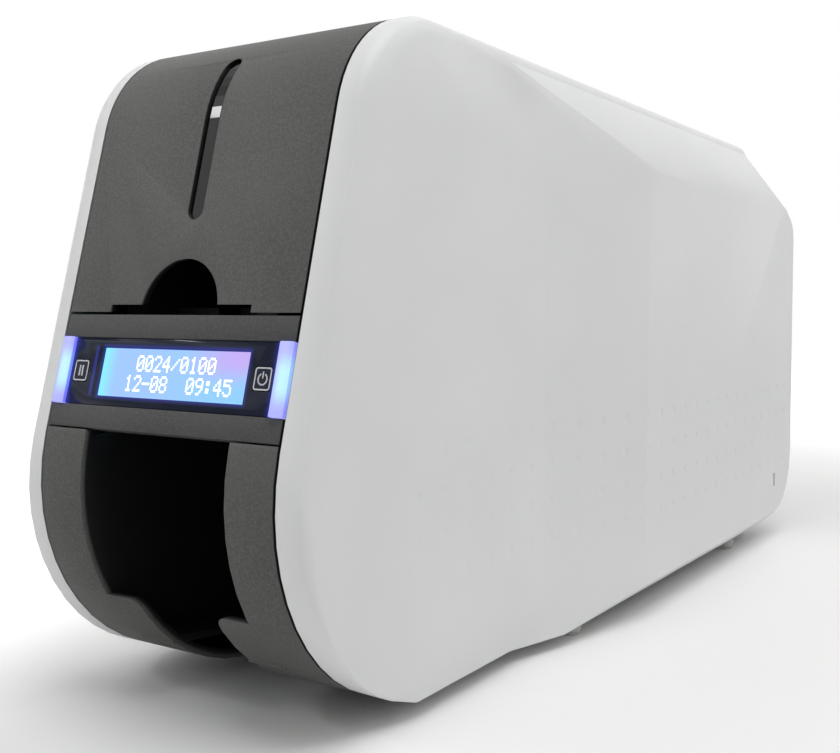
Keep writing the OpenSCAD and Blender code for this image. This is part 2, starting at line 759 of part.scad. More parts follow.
// Everything above the slanting lower edge of the bezel
module above_stacker() {
    translate([lean_y(strip_z), strip_z])
        rotate(-front_lean)
            translate([-20, -strip_half - lower_bar_h - 0.5])
                square([120, 80]);
}
lip_turn = 4;
module stacker_opening() {
    gap_half = lip_gap / 2;
    recess_half = recess_w / 2;
    // clear front between the wings, above the lips
    translate([-recess_half, lip_z])
        square([recess_w, stack_top - lip_z + 5]);
    // gap between the lips, with rounded lip corners
    translate([-gap_half, -5])
        square([lip_gap, lip_z + 6]);
    difference() {
        translate([-gap_half - lip_turn, lip_z - lip_turn])
            square([lip_gap + 2 * lip_turn, lip_turn + 1]);
        for (side = [-1, 1])
            translate([side * (gap_half + lip_turn), lip_z - lip_turn])
                circle(r = lip_turn);
    }
}
module output_stacker() {
    wall = 2.4;
    wall_x = recess_w / 2;
    color(dark)
        difference() {
            union() {
                // wings and lips follow the body's front
                difference() {
                    along_x(-half_cover, half_cover)
                        difference() {
                            intersection() {
                                outline_band(cover_inset, cover_inset + stack_wall);
                                yz_window([front_y, stack_back_y], [0, stack_top + 2]);
                            }
                            above_stacker();
                        }
                    translate([0, front_y + 56, 0])
                        rotate([90, 0, 0])
                            linear_extrude(60)
                                stacker_opening();
                }
                // side walls of the recess
                both_sides()
                    along_x(wall_x, wall_x + wall)
                        difference() {
                            polygon(body_outline(cover_inset + 1));
                            yz_window([stack_back_y, rear_y + 1], [0, body_height]);
                            yz_window([front_y - 1, rear_y], [stack_top - 3, body_height + 1]);
                        }
                // floor and back wall
                along_x(-wall_x - 1, wall_x + 1)
                    polygon([[front_y + 24, 18], [stack_back_y, 11], [stack_back_y, 70],
                        [stack_back_y - wall, 70], [stack_back_y - wall, 11 + wall],
                        [front_y + 24, 18 + wall]]);
                // outer flanges that slide in the body
                both_sides()
                    along_x(half_cover - wall, half_cover)
                        intersection() {
                            outline_band(cover_inset + 1, cover_inset + 9);
                            yz_window([front_y, stack_back_y], [0, stack_top - 3]);
                        }
            }
            // thumb gap in the floor
            brick([-lip_gap / 2, lip_gap / 2], [front_y - 1, front_y + 56], [0, lip_z]);
            translate([0, front_y + 56, 0])
                cylinder(r = lip_gap / 2, h = lip_z);
        }
}

// ---- card path ----
module hopper_tray() {
    wall_x = card_slot_w / 2 + 0.4;
    back_y = hopper_hinge[0] + 2;
    color(dark)
        difference() {
            union() {
                // floor, carried by the side plates at its front
                brick([-wall_x - 2, wall_x + 2], [lean_y(hopper_floor) + 7.5, back_y + 2],
                    [hopper_floor - 2.4, hopper_floor]);
                brick([-plate_x, plate_x], [front_y + 24, front_y + 60],
                    [hopper_floor - 2.4, hopper_floor]);
                // side walls and back wall
                both_sides()
                    along_x(wall_x, wall_x + 2)
                        intersection() {
                            polygon(body_outline(cover_inset + cover_wall + 6));
                            yz_window([front_y, back_y + 2], [hopper_floor - 2, hopper_hinge[1] - 10]);
                        }
                brick([-plate_x, plate_x], [back_y, back_y + 2], [132, hopper_hinge[1] - 10]);
                brick([-wall_x - 1, wall_x + 1], [back_y, back_y + 2], [hopper_floor + 4, 133]);
            }
            // opening for the pick roller
            brick([-21, 21], [pick[0] - pick_r - 1.5, pick[0] + pick_r + 1.5], [100, hopper_floor + 1]);
            // the guide slots of the card weight
            for (x = [-12, 12])
                brick([x - 2.2, x + 2.2], [back_y - 1, back_y + 3], [hopper_floor + 7, 180]);
        }
}
module card_weight() {
    back_y = hopper_hinge[0] + 2;
    z = hopper_floor + 0.4;
    color(steel) {
        difference() {
            brick([-25.5, 25.5], [front_y + 38, back_y - 0.5], [z, z + 3]);
            brick([-8, 8], [front_y + 37, front_y + 48], [z - 1, z + 4]);
        }
        // guide tabs reach through the slots of the back wall
        for (x = [-12, 12]) {
            brick([x - 1.9, x + 1.9], [back_y - 3.5, back_y - 0.5], [z + 2.9, z + 16]);
            brick([x - 1.9, x + 1.9], [back_y - 1, back_y + 2.6], [z + 7.4, z + 16]);
        }
    }
}
module card_guide() {
    color(steel)
        difference() {
            union() {
                brick([-33, 33], [feed[0] + roller_r + 4, rear[0] + 62], [path_z - 2.5, path_z - 1]);
                brick([-plate_x, plate_x], [rear[0] + 24, rear[0] + 50], [path_z - 2.5, path_z - 1]);
            }
            for (s = [[platen[0], platen_r], [rear[0], roller_r]])
                brick([-29.5, 29.5], [s[0] - s[1] - 1.2, s[0] + s[1] + 1.2], [path_z - 3, path_z]);
        }
}
module exit_guide() {
    color(dark) {
        along_x(-27, 27)
            polygon([[feed[0] - 9, path_z], [feed[0] - 12, path_z], [exit[0] - 8, exit[1] + 13],
                [exit[0] - 14, exit[1] + 12], [exit[0] - 14, exit[1] + 10.4],
                [exit[0] - 7, exit[1] + 11]]);
        // ribs up to the hopper floor
        for (x = [-24, 24])
            brick([x - 1, x + 1], [feed[0] - 22, feed[0] - 17], [path_z - 6, hopper_floor - 2.4]);
    }
}

// ---- rollers and gears ----
module roller(p, r, half) {
    color(steel)
        rod(p[0], p[1], shaft_r, -half_core + 0.2, half_core - 0.2);
    color(rubber)
        rod(p[0], p[1], r, -half, half);
}
module pick_roller() {
    roller(pick, pick_r, 19);
}
module feed_roller() {
    roller(feed, roller_r, 27);
}
module platen_roller() {
    roller(platen, platen_r, 28);
}
module rear_roller() {
    roller(rear, roller_r, 27);
}
module exit_roller() {
    roller(exit, roller_r, 20);
}
module cleaning_roller() {
    roller(cleaning, pinch_r, 27);
}
module rear_pinch_roller() {
    roller(rear_pinch, pinch_r, 27);
}

gear_near = [half_core - 9.8, half_core - 6.8];
gear_far = [half_core - 5.8, half_core - 2.8];
// Direction from one axis to another, in degrees
function toward(a, b) = atan2(b[1] - a[1], b[0] - a[0]);
// Tooth position that meshes gear b with gear a standing at angle phase
function mesh_phase(a, b, na, nb, phase) = let (t = toward(a, b))
    t + 180 - na / nb * (phase - t) - 180 / nb;
module gear(p, n, phase, x, bore) {
    root = gear_m * (n / 2 - 1.25);
    tip = gear_m * (n / 2 + 0.85);
    along_x(x[0], x[1])
        difference() {
            translate(p)
                rotate(phase)
                    polygon([for (i = [0:n - 1], k = [[root, -1.05], [tip, -0.4], [tip, 0.4], [root, 1.05]])
                        k[0] * [cos((i * 4 + k[1]) * 90 / n), sin((i * 4 + k[1]) * 90 / n)]]);
            translate(p)
                circle(r = bore);
        }
}
phase_platen = 0;
phase_platen_idler = mesh_phase(platen, platen_idler_at, n_roller, n_platen_idler, phase_platen);
phase_feed = mesh_phase(platen_idler_at, feed, n_platen_idler, n_roller, phase_platen_idler);
phase_exit_idler = mesh_phase(feed, exit_idler_at, n_roller, n_exit_idler, phase_feed);
phase_exit = mesh_phase(exit_idler_at, exit, n_exit_idler, n_roller, phase_exit_idler);
phase_pick_idler = mesh_phase(feed, pick_idler_at, n_roller, n_pick_idler, phase_feed);
phase_pick = mesh_phase(pick_idler_at, pick, n_pick_idler, n_roller, phase_pick_idler);
phase_rear_idler = mesh_phase(platen, rear_idler_at, n_roller, n_rear_idler, phase_platen);
phase_rear = mesh_phase(rear_idler_at, rear, n_rear_idler, n_roller, phase_rear_idler);
phase_pinion = mesh_phase(rear_idler_at, pinion_at, n_rear_idler, n_pinion, phase_rear_idler);
phase_ribbon_idler = mesh_phase(platen_idler_at, ribbon_idler_at, n_platen_idler, n_ribbon_idler,
    phase_platen_idler);
phase_take_up = mesh_phase(ribbon_idler_at, take_up, n_ribbon_idler, n_roller, phase_ribbon_idler);
gear_seat = shaft_r + 0.02;
stud_r = 2.5;
module pick_gear() {
    color(nylon)
        gear(pick, n_roller, phase_pick, gear_near, gear_seat);
}
module feed_gear() {
    color(nylon)
        gear(feed, n_roller, phase_feed, [gear_near[0], gear_far[1]], gear_seat);
}
module platen_gear() {
    color(nylon)
        gear(platen, n_roller, phase_platen, gear_far, gear_seat);
}
module rear_gear() {
    color(nylon)
        gear(rear, n_roller, phase_rear, gear_far, gear_seat);
}
module exit_gear() {
    color(nylon)
        gear(exit, n_roller, phase_exit, gear_far, gear_seat);
}
module pick_idler() {
    color(nylon)
        gear(pick_idler_at, n_pick_idler, phase_pick_idler, gear_near, stud_r + run_fit);
}
module exit_idler() {
    color(nylon)
        gear(exit_idler_at, n_exit_idler, phase_exit_idler, gear_far, stud_r + run_fit);
}
module platen_idler() {
    color(nylon)
        gear(platen_idler_at, n_platen_idler, phase_platen_idler, gear_far, stud_r + run_fit);
}
module rear_idler() {
    color(nylon)
        gear(rear_idler_at, n_rear_idler, phase_rear_idler, gear_far, stud_r + run_fit);
}
module ribbon_idler() {
    color(nylon)
        gear(ribbon_idler_at, n_ribbon_idler, phase_ribbon_idler, gear_far, stud_r + run_fit);
}
module idler_studs() {
    color(steel) {
        for (p = [exit_idler_at, platen_idler_at, rear_idler_at, ribbon_idler_at])
            rod(p[0], p[1], stud_r, gear_far[0] - 0.4, plate_x);
        rod(pick_idler_at[0], pick_idler_at[1], stud_r, gear_near[0] - 0.4, plate_x);
    }
}
motor_half = 17.5;
module drive_motor() {
    y = pinion_at[0];
    z = pinion_at[1];
    face_x = half_core - 12.8;
    color(steel) {
        brick([face_x - 34, face_x], [y - motor_half, y + motor_half], [z - motor_half, z + motor_half]);
        // mounting plate and its posts
        difference() {
            brick([face_x, face_x + 1.5], [y - 21, y + 21], [z - 23, z + motor_half]);
            rod(y, z, 8, face_x - 1, face_x + 3);
        }
        rod(y, z, 7.8, face_x, face_x + 1.6);
        for (s = [-1, 1])
            rod(y + s * 17, z - 19, 3, face_x + 1.5, plate_x);
    }
}
module motor_pinion() {
    color([0.78, 0.62, 0.34])
        gear(pinion_at, n_pinion, phase_pinion, gear_far, 0.4);
    color(steel)
        rod(pinion_at[0], pinion_at[1], 2.5, half_core - 10.9, gear_far[0]);
}

// ---- print head, carried by the lid ----
head_y = [platen[0] - 7, platen[0] + 9];
head_z = path_z + 1.2;
lid_inner = body_height - cover_inset - cover_wall;
module print_head() {
    color([0.80, 0.81, 0.83])
        difference() {
            along_x(-31, 31)
                polygon([[platen[0] - 4, head_z], [platen[0] + 4, head_z], [head_y[1], head_z + 4],
                    [head_y[1], head_z + 18], [head_y[0], head_z + 18], [head_y[0], head_z + 4]]);
            // cooling fins
            for (i = [-7:7])
                brick([i * 4 - 1, i * 4 + 1], [head_y[0] - 1, head_y[1] - 5], [head_z + 7, head_z + 19]);
        }
}
module head_bracket() {
    color(steel) {
        // back sheet from the lid down behind the head
        brick([-31.5, 31.5], [head_y[1] + gap, head_y[1] + 1.9], [head_z + 5, lid_inner]);
        brick([-31.5, 31.5], [head_y[1] + gap, head_y[1] + 12], [lid_inner - 1.6, lid_inner]);
        // spring seat and its cheeks
        brick([-33, 33], [head_y[0], head_y[1] + 1.9], [head_z + 28, head_z + 29.6]);
        both_sides()
            brick([31.4, 33], [head_y[0], head_y[1] + 1.9], [head_z + 5, head_z + 29.6]);
    }
}
module head_springs() {
    color(steel)
        for (x = [-20, 20])
            translate([x, head_y[0] + 13.6, head_z + 18])
                difference() {
                    cylinder(r = 2.3, h = 10);
                    translate([0, 0, -1])
                        cylinder(r = 1.5, h = 12);
                    for (i = [0:4])
                        translate([0, 0, 1.2 + i * 1.8])
                            difference() {
                                cylinder(r = 3, h = 0.6);
                                translate([0, 0, -1])
                                    cylinder(r = 1.8, h = 3);
                            }
                }
}

// ---- ribbon ----
cassette_x = [half_core - 12.2, half_core - 10.4];
spool_journal_r = 4;
module ribbon_cassette() {
    front = take_up[0] - 19;
    back = supply[0] + 19;
    color(nylon) {
        both_sides()
            difference() {
                along_x(cassette_x[0], cassette_x[1])
                    difference() {
                        yz_window([front, back], [path_z + 15, take_up[1] + 12]);
                        // room for the print head and its bracket
                        yz_window([head_y[0] - 8, head_y[1] + 6], [path_z + 11, path_z + 24]);
                        translate([platen[0] + 20, take_up[1] + 40])
                            circle(r = 36);
                    }
                for (s = [take_up, supply])
                    rod(s[0], s[1], spool_journal_r + run_fit, cassette_x[0] - 1, cassette_x[1] + 1);
            }
        // cross bars
        rod(front + 3, take_up[1] + 9, 2.5, -plate_x, plate_x);
        rod(back - 3, take_up[1] + 9, 2.5, -plate_x, plate_x);
    }
}
module spool(p, r) {
    color([0.08, 0.08, 0.09])
        rod(p[0], p[1], r, -29, 29);
    color(nylon) {
        both_sides()
            rod(p[0], p[1], 6, 29, cassette_x[0] - 0.4);
        both_sides()
            rod(p[0], p[1], spool_journal_r, cassette_x[0] - 0.4, cassette_x[1] + 0.3);
    }
}
module supply_spool() {
    spool(supply, supply_r);
}
module take_up_spool() {
    spool(take_up, take_up_r);
    color(nylon) {
        rod(take_up[0], take_up[1], spool_journal_r, cassette_x[1], gear_far[0]);
        gear(take_up, n_roller, phase_take_up, gear_far, 0.4);
    }
}
module ribbon_film() {
    t = 0.3;
    y = platen[0];
    z = path_z + 0.4;
    color([0.10, 0.10, 0.12])
        along_x(-28.5, 28.5)
            polygon([[supply[0], supply[1] - supply_r - 0.6], [y + 7, z], [y - 7, z],
                [take_up[0], take_up[1] - take_up_r - 0.6], [take_up[0], take_up[1] - take_up_r - 0.3],
                [y - 7, z + t], [y + 7, z + t], [supply[0], supply[1] - supply_r - 0.3]]);
}

left_side_panel();
right_side_panel();
base_plate();
feet();
left_chassis_plate();
right_chassis_plate();
tie_bars();
shaft_bushes();
screws();
rear_cover();
power_socket();
usb_socket();
network_socket();
main_board();
hopper_cover();
hopper_window();
hinge_pins();
top_cover();
release_button();
display_bezel();
display_lens();
lcd_module();
led_bar_left();
led_bar_right();
pause_key();
power_key();
display_board();
output_stacker();
exit_guide();
hopper_tray();
card_weight();
card_guide();
pick_roller();
feed_roller();
platen_roller();
rear_roller();
exit_roller();
cleaning_roller();
rear_pinch_roller();
pick_gear();
feed_gear();
platen_gear();
rear_gear();
exit_gear();
pick_idler();
exit_idler();
platen_idler();
rear_idler();
ribbon_idler();
idler_studs();
drive_motor();
motor_pinion();
print_head();
head_bracket();
head_springs();
ribbon_cassette();
supply_spool();
take_up_spool();
ribbon_film();
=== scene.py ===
import bpy
import json
from math import radians, sin, cos, tan
from mathutils import Matrix, Vector


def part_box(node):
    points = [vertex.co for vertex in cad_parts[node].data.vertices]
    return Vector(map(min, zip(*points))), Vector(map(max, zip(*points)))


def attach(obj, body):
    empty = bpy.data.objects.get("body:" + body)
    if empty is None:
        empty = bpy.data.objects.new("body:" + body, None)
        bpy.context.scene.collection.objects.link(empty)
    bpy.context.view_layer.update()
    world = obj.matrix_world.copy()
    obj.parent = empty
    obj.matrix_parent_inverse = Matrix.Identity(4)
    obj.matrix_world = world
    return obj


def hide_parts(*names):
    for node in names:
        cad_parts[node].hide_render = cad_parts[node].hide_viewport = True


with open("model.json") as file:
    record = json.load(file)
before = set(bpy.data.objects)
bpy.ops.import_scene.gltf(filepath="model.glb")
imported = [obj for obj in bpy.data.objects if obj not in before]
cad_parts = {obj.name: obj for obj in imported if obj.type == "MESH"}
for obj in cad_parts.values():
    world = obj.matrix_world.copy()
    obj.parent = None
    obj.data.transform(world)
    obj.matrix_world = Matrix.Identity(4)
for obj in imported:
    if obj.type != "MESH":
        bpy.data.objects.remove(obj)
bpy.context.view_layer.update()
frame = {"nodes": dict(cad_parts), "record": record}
record = frame["record"]
nodes = frame["nodes"]

# ---------------------------------------------------------------- sizes, in millimetres
MM = 0.001
X, Y, Z = 0, 1, 2


def span(node, axis):
    """The lowest and highest place of a CAD node along an axis, in millimetres."""
    return [corner[axis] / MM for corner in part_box(node)]


# the body's outline: a front that leans back over a rounded nose
LEAN = radians(15)
NOSE = 63.5
NOSE_Y = span("right_side_panel", Y)[0] + NOSE
NOSE_Z = span("right_side_panel", Z)[0] + NOSE
HALF_COVER = span("hopper_cover", X)[1]
PANEL_INNER = span("right_side_panel", X)[0]

# the window slot of the hopper cover: the line between the middles of its round ends, and how far
# from that line its walls are taken to reach
SLOT_MIDDLE_Z = 173.9
SLOT_HALF_RUN = 22.1
SLOT_WALL = 3.1

# the display strip: its middle, its light bars, its keys and the window of its character display
STRIP_Z = 103.9
BAR_X = 43.6
KEY_X = sum(span("power_key", X)) / 2
LCD_X = sum(span("lcd_module", X)) / 2
LCD_HALF_WIDTH = 29.0
LCD_HALF_RISE = 7.1
# the keys' and the display's faces, out from the skin of the covers
KEY_FACE = -0.3
LCD_FACE = -0.5

# the marks on those faces: the gap behind them, their thickness, their line, and the figures' dots
PRINT_GAP = 0.01
PRINT_THICK = 0.06
PRINT_LINE = 0.42
FIGURE_PITCH = 3.55
DOT_PITCH = (0.60, 0.70)
DOT_SIZE = (0.54, 0.64)


def lean_y(z):
    """Y of the leaning front at a height."""
    return NOSE_Y - NOSE * cos(LEAN) + (z - NOSE_Z - NOSE * sin(LEAN)) * tan(LEAN)


def on_front(x, s, n):
    """A point given across, up the slope from the strip's middle and out of the front, in metres."""
    y = lean_y(STRIP_Z) + s * sin(LEAN) - n * cos(LEAN)
    z = STRIP_Z + s * cos(LEAN) + n * sin(LEAN)
    return Vector((x, y, z)) * MM


FRONT_TURN = (radians(90) - LEAN, 0, 0)


# ---------------------------------------------------------------- shader values
def rgb(red, green, blue):
    return (red, green, blue, 1.0)


def shaded(tone, share):
    """A lighter or darker version of a tone."""
    return rgb(*[part * share for part in tone])


BLACK = rgb(0, 0, 0)
WHITE = rgb(1, 1, 1)


class Wire:
    """One value in a material; adding, multiplying and so on makes its Math node."""

    def __init__(self, tree, socket):
        self.tree, self.socket = tree, socket

    def made(self, kind, inputs=None, out=0, **settings):
        """A node of a type, with its settings and the values or links of its sockets."""
        node = self.tree.nodes.new(kind)
        for key, value in settings.items():
            setattr(node, key, value)
        for key, value in (inputs or {}).items():
            if isinstance(value, Wire):
                self.tree.links.new(value.socket, node.inputs[key])
            else:
                node.inputs[key].default_value = value
        return Wire(self.tree, node.outputs[out])

    def math(self, operation, a, b=0.0):
        return self.made("ShaderNodeMath", {0: a, 1: b}, operation=operation)

    def __add__(self, other):
        return self.math("ADD", self, other)

    def __radd__(self, other):
        return self.math("ADD", other, self)

    def __sub__(self, other):
        return self.math("SUBTRACT", self, other)

    def __rsub__(self, other):
        return self.math("SUBTRACT", other, self)

    def __mul__(self, other):
        return self.math("MULTIPLY", self, other)

    def __rmul__(self, other):
        return self.math("MULTIPLY", other, self)

    def __truediv__(self, other):
        return self.math("DIVIDE", self, other)

    def __rtruediv__(self, other):
        return self.math("DIVIDE", other, self)

    def size(self):
        return self.math("ABSOLUTE", self)

    def sign(self):
        return self.math("SIGN", self)

    def root(self):
        return self.math("SQRT", self)

    def least(self, other):
        return self.math("MINIMUM", self, other)

    def most(self, other):
        return self.math("MAXIMUM", self, other)

    def ramp(self, low, high):
        """0 at low, 1 at high, smooth between."""
        return self.made("ShaderNodeMapRange", {"Value": self, "From Min": low, "From Max": high},
                         interpolation_type="SMOOTHSTEP")

    def blend(self, first, second):
        """Colour first at 0, second at 1."""
        return self.made("ShaderNodeMix", {0: self, 6: first, 7: second}, out=2, data_type="RGBA")


class Material:
    """A material with one Principled shader, its object coordinates and noise at real scales."""

    def __init__(self, name, **constants):
        self.data = bpy.data.materials.new(name)
        self.data.use_nodes = True
        self.tree = self.data.node_tree
        self.shader = self.tree.nodes["Principled BSDF"]
        for key, value in constants.items():
            self.shader.inputs[key.replace("_", " ")].default_value = value
        coords = self.tree.nodes.new("ShaderNodeTexCoord")
        self.place = Wire(self.tree, coords.outputs["Object"])

    def millimetres(self):
        """Across, back and up on the object, as three values in millimetres."""
        split = self.tree.nodes.new("ShaderNodeSeparateXYZ")
        self.tree.links.new(self.place.socket, split.inputs[0])
        return [Wire(self.tree, part) / MM for part in split.outputs]

    def noise(self, size_mm, detail=2.0, roughness=0.5):
        return self.place.made("ShaderNodeTexNoise", {"Vector": self.place, "Scale": 1 / (size_mm * MM),
                                                      "Detail": detail, "Roughness": roughness})

    def streaks(self):
        """Noise drawn out across and back, and fine in height, as on brushed sheet."""
        long_per_m, fine_per_m = 60.0, 1800.0
        drawn = self.place.made("ShaderNodeMapping", {"Vector": self.place,
                                                      "Scale": (long_per_m, long_per_m, fine_per_m)})
        return self.place.made("ShaderNodeTexNoise", {"Vector": drawn, "Scale": 1.0, "Detail": 3.0})

    def mottled(self, size_mm, first, second, low=0.3, high=0.7):
        """A colour that drifts between two tones over a real distance."""
        return self.noise(size_mm).ramp(low, high).blend(first, second)

    def feed(self, name, wire):
        self.tree.links.new(wire.socket, self.shader.inputs[name])

    def bump(self, height, depth_mm, strength):
        self.feed("Normal", self.place.made("ShaderNodeBump", {"Height": height, "Strength": strength,
                                                               "Distance": depth_mm * MM}))


# ---------------------------------------------------------------- finishes
def painted_white():
    m = Material("satin_white", Roughness=0.42, Specular_IOR_Level=0.35)
    skin = m.mottled(55.0, rgb(0.742, 0.752, 0.748), rgb(0.766, 0.775, 0.772))
    # painted shade: the white wall down into the joint beside the covers is painted near black, less dark on
    # the left panel
    across = m.millimetres()[X]
    joint_shade = across.size().ramp(PANEL_INNER + 0.18, PANEL_INNER + 0.06) * (across.ramp(-1.0, 1.0) * 0.4 + 0.6)
    m.feed("Base Color", joint_shade.blend(skin, rgb(0.01, 0.01, 0.01)))
    grain = m.noise(0.9, 3.0, 0.6)
    m.feed("Roughness", grain * 0.12 + 0.36)
    m.bump(grain, 0.02, 0.35)
    return m.data


def stacker_recess_shade(m):
    """Painted shade in the stacker's recess: 1 behind the outer skin of the rounded front, where the inside
    is painted black.
    """
    _, back, up = m.millimetres()
    ahead = (back - NOSE_Y).least(0.0)
    above = up - NOSE_Z
    depth = NOSE - (ahead * ahead + above * above).root()
    return depth.ramp(0.7, 2.2)


def hopper_recess_shade(m):
    """Painted shade: 1 on the walls of the thumb notch, the card slot and the window slot, which are painted
    black.
    """
    across, back, up = m.millimetres()
    depth = (back - lean_y(0) - up * tan(LEAN)) * cos(LEAN)
    notch = depth.ramp(0.4, 0.8) * up.ramp(166.0, 160.0)
    past_end = ((up - SLOT_MIDDLE_Z).size() - SLOT_HALF_RUN).most(0.0)
    from_run = (across * across + past_end * past_end).root()
    return notch.most(from_run.ramp(SLOT_WALL + 0.15, SLOT_WALL - 0.15))


def textured_dark(name, tone, inside=None):
    """Grey moulding with a fine eroded texture; the mask given as inside paints shade, as black, on the walls
    of recesses.
    """
    m = Material(name, Roughness=0.55, Specular_IOR_Level=0.22)
    grain_mm = 0.45
    grain = m.noise(grain_mm, 3.0, 0.65)
    skin = m.mottled(30.0, shaded(tone, 0.93), shaded(tone, 1.07))
    speck = m.noise(grain_mm * 1.6, 2.0, 0.6).ramp(0.42, 0.62)
    skin = speck.blend(skin, shaded(tone, 1.25))
    # painted shade: the cover's edge beside the right rim is painted black, so the joint there reads as a
    # dark line
    shade = m.millimetres()[X].ramp(HALF_COVER - 0.3, HALF_COVER - 0.1)
    if inside:
        shade = shade.most(inside(m))
    m.feed("Base Color", shade.blend(skin, rgb(0.008, 0.008, 0.008)))
    m.feed("Roughness", grain * 0.22 + 0.45)
    m.bump(grain, 0.05, 0.6)
    return m.data


def glossy(name, tone, roughness, shine=0.3):
    m = Material(name, Roughness=roughness, Specular_IOR_Level=shine)
    smear = m.noise(18.0, 3.0)
    m.feed("Base Color", smear.ramp(0.35, 0.7).blend(rgb(*tone), shaded(tone, 1.4)))
    m.feed("Roughness", smear * 0.05 + roughness)
    return m.data


def lens_black():
    """The gloss strip in front of the display, with the blue glow that it picks up."""
    m = Material("gloss_lens", Roughness=0.1, Specular_IOR_Level=0.07, Emission_Strength=1.0)
    smear = m.noise(14.0, 3.0)
    m.feed("Roughness", smear * 0.06 + 0.07)
    m.feed("Base Color", smear.ramp(0.3, 0.7).blend(rgb(0.012, 0.016, 0.031), rgb(0.015, 0.020, 0.038)))
    # the light bars and the lit window shine into the dark strip beside them, and one line is lit
    across, _, up = m.millimetres()
    rise = (up - STRIP_Z).size()
    beside_bar = across.size().ramp(37.5, 41.5)
    line_x = LCD_X - LCD_HALF_WIDTH - 3.3
    line = (1.0 - (across - line_x).size().ramp(0.4, 0.85)) * rise.ramp(8.0, 6.6)
    out_x = ((across - LCD_X).size() - LCD_HALF_WIDTH).most(0.0)
    out_z = (rise - LCD_HALF_RISE).most(0.0)
    halo = 1.0 - (out_x * out_x + out_z * out_z).root().ramp(0.0, 1.5)
    lit = (beside_bar * beside_bar * 0.45).most(line * 0.32).most(halo * 0.3)
    m.feed("Emission Color", lit.blend(BLACK, rgb(0.045, 0.06, 0.62)))
    return m.data


def lit_window():
    """The lit display: cyan at its left end, blue in the middle, pink at its upper right."""
    m = Material("lit_window", Roughness=0.25, Specular_IOR_Level=0.15, Emission_Strength=1.0,
                 Base_Color=rgb(0.02, 0.03, 0.05))
    across, _, up = m.millimetres()
    cloud = m.noise(24.0) * 3.0
    middle = (across + cloud).ramp(-8.0, 24.0).blend(rgb(0.33, 0.55, 0.99), rgb(0.27, 0.60, 0.96))
    corner = across.ramp(2.0, 26.0) * (up + cloud).ramp(101.0, 110.0)
    pink = corner.blend(middle, rgb(0.54, 0.40, 0.88))
    from_left = (across + cloud * 0.4).ramp(-27.5, -19.5)
    m.feed("Emission Color", from_left.blend(rgb(0.22, 0.86, 1.0), pink))
    return m.data


def lit_bar():
    """A lit bar, palest at its middle height and toward the right, and deep blue at its edges."""
    m = Material("lit_bar", Roughness=0.3, Specular_IOR_Level=0.2, Emission_Strength=1.0,
                 Base_Color=rgb(0.08, 0.10, 0.25))
    across, _, up = m.millimetres()
    out = across.size() - BAR_X
    edge = out.size().ramp(2.3, 2.75)
    toward_right = (out * across.sign()).ramp(-2.2, 0.2)
    middle = (1.0 - (up - (STRIP_Z + 0.1)).size().ramp(2.0, 8.5)) * (toward_right * 0.8 + 0.2)
    pale = middle.blend(rgb(0.40, 0.40, 1.0), rgb(0.50, 0.84, 1.0))
    m.feed("Emission Color", edge.blend(pale, rgb(0.04, 0.05, 0.80)))
    return m.data


def metal(name, tone, roughness, brushed=False):
    m = Material(name, Metallic=1.0, Roughness=roughness)
    streak = m.streaks() if brushed else m.noise(3.0, 3.0)
    m.feed("Roughness", streak * 0.2 + (roughness - 0.08))
    m.feed("Base Color", streak.ramp(0.3, 0.7).blend(shaded(tone, 0.9), rgb(*tone)))
    m.bump(streak, 0.01, 0.3)
    return m.data


def plain_plastic(name, tone, roughness, grain_mm=1.2, depth=0.02):
    m = Material(name, Roughness=roughness)
    grain = m.noise(grain_mm, 3.0)
    m.feed("Base Color", m.mottled(12.0, shaded(tone, 0.9), rgb(*tone)))
    m.feed("Roughness", grain * 0.2 + (roughness - 0.1))
    m.bump(grain, depth, 0.4)
    return m.data


def print_grey():
    m = Material("print_grey", Roughness=0.4)
    m.feed("Base Color", m.mottled(2.0, rgb(0.50, 0.50, 0.53), rgb(0.58, 0.58, 0.61)))
    return m.data


def lit_dots():
    m = Material("lit_dots", Roughness=0.4, Emission_Strength=1.0)
    m.feed("Emission Color", m.mottled(6.0, rgb(0.86, 0.84, 1.0), rgb(1.0, 0.90, 0.98)))
    return m.data


slot_materials = {
    "panel_white": painted_white(),
    "cover_grey": textured_dark("textured_grey", (0.088, 0.089, 0.085)),
    "lens_black": lens_black(),
    "window_smoke": glossy("smoked_window", (0.003, 0.003, 0.003), 0.03, 0.16),
    "lcd_light": lit_window(),
    "led_light": lit_bar(),
    "key_black": glossy("gloss_key", (0.012, 0.016, 0.029), 0.1, 0.07),
    "steel_plate": metal("brushed_sheet", (0.55, 0.56, 0.58), 0.38, brushed=True),
    "shaft_steel": metal("ground_shaft", (0.66, 0.67, 0.69), 0.22),
    "roller_rubber": plain_plastic("roller_rubber", (0.035, 0.035, 0.037), 0.75, 0.8, 0.03),
    "foot_rubber": plain_plastic("foot_rubber", (0.52, 0.52, 0.50), 0.6, 0.8, 0.03),
    "gear_nylon": plain_plastic("gear_nylon", (0.78, 0.76, 0.68), 0.42),
    "brass": metal("brass", (0.72, 0.52, 0.22), 0.3),
    "board_green": plain_plastic("board_green", (0.02, 0.16, 0.07), 0.35),
    "socket_metal": metal("socket_sheet", (0.66, 0.67, 0.68), 0.3),
    "socket_black": plain_plastic("socket_black", (0.02, 0.02, 0.02), 0.45),
    "inner_black": plain_plastic("inner_black", (0.012, 0.012, 0.012), 0.6),
    "head_alloy": metal("head_alloy", (0.72, 0.73, 0.75), 0.35),
    "ribbon_black": glossy("ribbon_film", (0.012, 0.012, 0.016), 0.2),
}
slot_of = {sub["node"]: sub["material_slot"] for sub in record["subparts"]}
body_of = {node: body for body, members in record["behaviour"]["bodies"].items() for node in members}
for node, slot in slot_of.items():
    slots = nodes[node].data.materials
    slots.clear()
    slots.append(slot_materials[slot])


